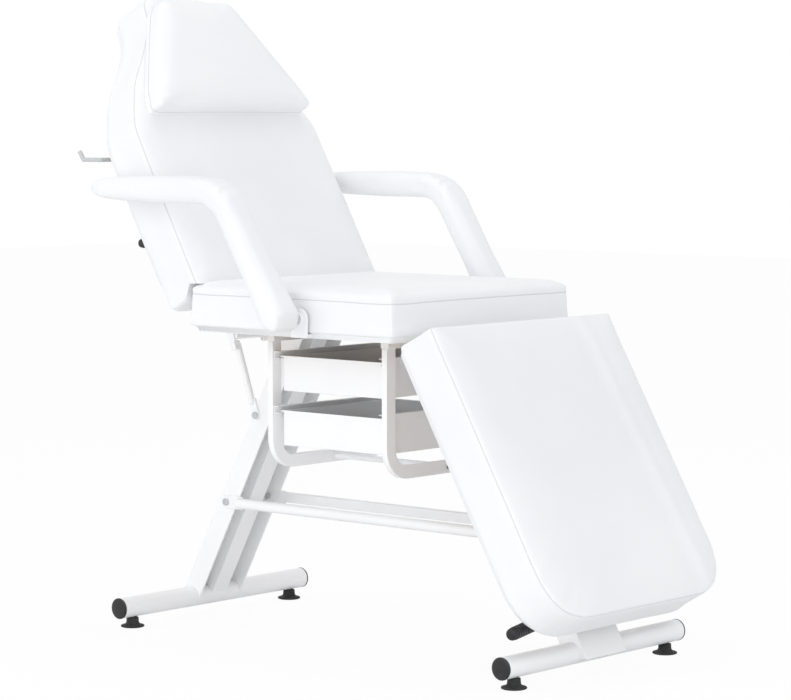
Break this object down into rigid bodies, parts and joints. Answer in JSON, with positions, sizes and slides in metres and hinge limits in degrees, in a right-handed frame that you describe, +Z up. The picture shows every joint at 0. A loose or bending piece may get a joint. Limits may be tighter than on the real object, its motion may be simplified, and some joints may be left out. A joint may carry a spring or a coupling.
{
  "type": "facial treatment bed",
  "caption": "Padded facial treatment bed with reclining back, lifting leg rest, folding armrests and two sliding trays on a leaning-leg steel frame.",
  "frame": {"origin": "On the floor, under the middle of the whole bed as drawn, with the back up and the leg rest down.", "axes": "+X towards the foot end, +Y towards the occupant's left, +Z up."},
  "size_m": [1.3293, 0.738, 1.3062],
  "materials": {
    "white_leather": "smooth soft-sheen leatherette",
    "white_powder_coat": "satin powder coat",
    "grey_coat": "satin grey coat",
    "zinc_steel": "bright zinc",
    "black_steel": "black oxide",
    "black_plastic": "fine moulded texture",
    "black_rubber": "matte",
    "birch_plywood": "sanded"
  },
  "bodies": {
    "frame": {"rear_foot_bar": "white_powder_coat", "front_foot_bar": "white_powder_coat", "foot_bar_caps": "black_plastic", "rear_leg": "white_powder_coat", "front_leg": "white_powder_coat", "leg_cores": "white_powder_coat", "stretchers": "white_powder_coat", "stretcher_bolts": "zinc_steel", "rear_braces": "white_powder_coat", "brace_bolts": "zinc_steel", "seat_rails": "white_powder_coat", "seat_cross_tubes": "white_powder_coat", "rear_cross_bar": "white_powder_coat", "rear_hanger": "white_powder_coat", "front_hanger": "white_powder_coat", "tie_rod": "white_powder_coat", "tie_rod_screws": "black_steel", "upper_tray_rails": "white_powder_coat", "lower_tray_rails": "white_powder_coat", "seat_board": "birch_plywood", "seat_cushion": "white_leather", "back_hinge_plates": "white_powder_coat", "leg_hinge_plates": "white_powder_coat", "hinge_pins": "zinc_steel", "arm_brackets": "white_powder_coat"},
    "backrest": {"back_side_tubes": "white_powder_coat", "back_cross_tubes": "white_powder_coat", "back_board": "birch_plywood", "back_cushion": "white_leather", "head_pillow": "white_leather", "roll_holder": "grey_coat"},
    "backrest_lever": {"back_lever": "white_powder_coat", "back_lever_grip": "black_plastic"},
    "leg_rest": {"leg_side_tubes": "white_powder_coat", "leg_cross_tubes": "white_powder_coat", "leg_board": "birch_plywood", "leg_cushion": "white_leather", "leg_pull_bar": "white_powder_coat", "leg_pull_grips": "black_plastic"},
    "rest_pawl": {"leg_pawl": "zinc_steel"},
    "upper_tray_slide": {"upper_tray": "white_powder_coat"},
    "lower_tray_slide": {"lower_tray": "white_powder_coat"},
    "right_arm": {"right_arm_core": "zinc_steel", "right_arm_pad": "white_leather"},
    "left_arm": {"left_arm_core": "zinc_steel", "left_arm_pad": "white_leather"},
    "rear_right_foot": {"rear_right_stud": "zinc_steel", "rear_right_pad": "black_rubber"},
    "rear_left_foot": {"rear_left_stud": "zinc_steel", "rear_left_pad": "black_rubber"},
    "front_right_foot": {"front_right_stud": "zinc_steel", "front_right_pad": "black_rubber"},
    "front_left_foot": {"front_left_stud": "zinc_steel", "front_left_pad": "black_rubber"}
  },
  "joints": [
    {"name": "backrest_recline", "type": "hinge", "parent": "frame", "child": "backrest", "pos_m": [-0.28535, 0, 0.66], "axis": [0, -1, 0], "range_deg": [0, 60.4]},
    {"name": "recline_lever_pull", "type": "hinge", "parent": "backrest", "child": "backrest_lever", "pos_m": [-0.30975, -0.087, 0.62601], "axis": [0, -1, 0], "range_deg": [0, 8], "stiffness_Nm_per_rad": 6, "springref_deg": -2.86},
    {"name": "leg_rest_lift", "type": "hinge", "parent": "frame", "child": "leg_rest", "pos_m": [0.27215, 0, 0.6175], "axis": [0, -1, 0], "range_deg": [0, 60]},
    {"name": "rest_pawl_release", "type": "hinge", "parent": "frame", "child": "rest_pawl", "pos_m": [0.22215, -0.087, 0.5935], "axis": [0, 1, 0], "range_deg": [0, 12], "stiffness_Nm_per_rad": 0.6, "springref_deg": -5.73},
    {"name": "upper_tray_travel", "type": "slide", "parent": "frame", "child": "upper_tray_slide", "axis": [0, 1, 0], "range_m": [-0.24, 0.24]},
    {"name": "lower_tray_travel", "type": "slide", "parent": "frame", "child": "lower_tray_slide", "axis": [0, 1, 0], "range_m": [-0.24, 0.24]},
    {"name": "right_arm_fold", "type": "hinge", "parent": "frame", "child": "right_arm", "pos_m": [0.03515, -0.333, 0.662], "axis": [0, -1, 0], "range_deg": [0, 58]},
    {"name": "left_arm_fold", "type": "hinge", "parent": "frame", "child": "left_arm", "pos_m": [0.03515, 0.333, 0.662], "axis": [0, -1, 0], "range_deg": [0, 58]},
    {"name": "rear_right_foot_turn", "type": "hinge", "parent": "frame", "child": "rear_right_foot", "pos_m": [-0.47685, -0.236, 0], "axis": [0, 0, 1], "continuous": true},
    {"name": "rear_left_foot_turn", "type": "hinge", "parent": "frame", "child": "rear_left_foot", "pos_m": [-0.47685, 0.236, 0], "axis": [0, 0, 1], "continuous": true},
    {"name": "front_right_foot_turn", "type": "hinge", "parent": "frame", "child": "front_right_foot", "pos_m": [0.53115, -0.236, 0], "axis": [0, 0, 1], "continuous": true},
    {"name": "front_left_foot_turn", "type": "hinge", "parent": "frame", "child": "front_left_foot", "pos_m": [0.53115, 0.236, 0], "axis": [0, 0, 1], "continuous": true}
  ]
}
